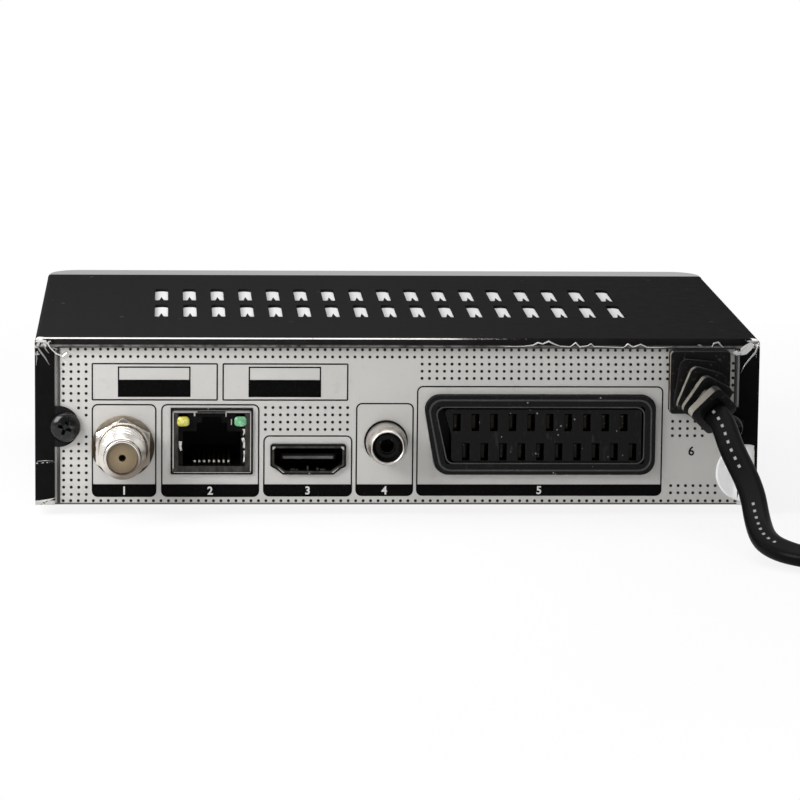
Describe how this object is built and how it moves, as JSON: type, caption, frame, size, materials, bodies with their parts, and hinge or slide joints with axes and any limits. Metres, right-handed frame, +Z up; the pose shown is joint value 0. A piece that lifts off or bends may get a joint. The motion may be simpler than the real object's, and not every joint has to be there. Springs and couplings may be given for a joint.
{
  "type": "satellite television receiver",
  "caption": "Slim sheet-steel satellite receiver with a silver socket panel at the rear, vented lid, front keys with a display window, and a flat mains lead.",
  "frame": {"origin": "on the plane of the feet, midway across the case, and midway between the key caps at the front and the tip of the aerial socket at the back", "axes": "+Z up; +X across the width, towards the aerial socket; +Y towards the rear panel and its sockets"},
  "size_m": [0.2325, 0.1697, 0.0365],
  "materials": {
    "painted_steel": "satin black paint, worn to metal on the rear folds",
    "zinc_steel": "zinc-plated sheet",
    "silver_panel": "silver lacquer with black print",
    "black_screws": "black oxide",
    "zinc_screws": "zinc plate",
    "white_fleece": "matt white fleece",
    "foot_rubber": "matt",
    "bezel_plastic": "gloss black",
    "smoked_window": "smoked acrylic",
    "key_plastic": "gloss black",
    "switch_plastic": "matt",
    "green_board": "solder mask",
    "dark_plastic": "fine matt",
    "socket_shell": "tinned sheet",
    "white_plastic": "matt",
    "gold_contacts": "plated",
    "signal_lights": "tinted resin",
    "nickel": "bright nickel",
    "tan_insulator": "matt",
    "black_aluminium": "black anodised",
    "capacitor_sleeve": "shrink sleeve",
    "wound_core": "ferrite with tape",
    "fuse_glass": "clear tube, plated caps",
    "inner_leads": "insulated leads",
    "fish_paper": "grey fibre sheet",
    "lead_rubber": "black, slightly glossy",
    "tie_strap": "matt",
    "brass_pins": "nickel-plated brass"
  },
  "bodies": {
    "receiver": {"aerial_barrel": "nickel", "aerial_contact": "gold_contacts", "aerial_insulator": "tan_insulator", "aerial_nut": "nickel", "aerial_washer": "nickel", "av_contacts": "gold_contacts", "av_housing": "dark_plastic", "board_pillars": "zinc_screws", "board_screws": "zinc_screws", "bulk_capacitor": "capacitor_sleeve", "chassis_tray": "zinc_steel", "coax_body": "dark_plastic", "coax_contact": "gold_contacts", "coax_shell": "nickel", "cord_coil": "lead_rubber", "cord_tie": "tie_strap", "data_port_shell": "socket_shell", "data_port_tongue": "white_plastic", "display_window": "smoked_window", "electrolytic_capacitors": "capacitor_sleeve", "front_bezel": "bezel_plastic", "front_board": "green_board", "front_ribbon": "inner_leads", "fuse": "fuse_glass", "heatsink": "black_aluminium", "insulation_sheet": "fish_paper", "ir_receiver": "dark_plastic", "led_display": "dark_plastic", "main_board": "green_board", "mains_choke": "wound_core", "mains_wires": "inner_leads", "memory_chips": "dark_plastic", "network_contacts": "gold_contacts", "network_insert": "dark_plastic", "network_lights": "signal_lights", "network_shell": "socket_shell", "plug_body": "lead_rubber", "plug_pins": "brass_pins", "power_board": "green_board", "power_cord": "lead_rubber", "power_harness": "inner_leads", "processor": "dark_plastic", "rear_panel": "silver_panel", "rear_screws": "black_screws", "rubber_feet": "foot_rubber", "strain_relief": "lead_rubber", "switch_bodies": "switch_plastic", "top_cover": "painted_steel", "transformer": "wound_core", "tuner_can": "zinc_steel", "vent_screen": "white_fleece", "video_shell": "socket_shell", "video_tongue": "dark_plastic"},
    "power_button": {"power_button": "key_plastic", "power_plunger": "switch_plastic"},
    "channel_down_button": {"channel_down_button": "key_plastic", "channel_down_plunger": "switch_plastic"},
    "channel_up_button": {"channel_up_button": "key_plastic", "channel_up_plunger": "switch_plastic"}
  },
  "joints": [
    {"name": "power_press", "type": "slide", "parent": "receiver", "child": "power_button", "axis": [0, 1, 0], "range_m": [0, 0.0005], "stiffness_N_per_m": 3000},
    {"name": "channel_down_press", "type": "slide", "parent": "receiver", "child": "channel_down_button", "axis": [0, 1, 0], "range_m": [0, 0.0005], "stiffness_N_per_m": 3000},
    {"name": "channel_up_press", "type": "slide", "parent": "receiver", "child": "channel_up_button", "axis": [0, 1, 0], "range_m": [0, 0.0005], "stiffness_N_per_m": 3000}
  ]
}
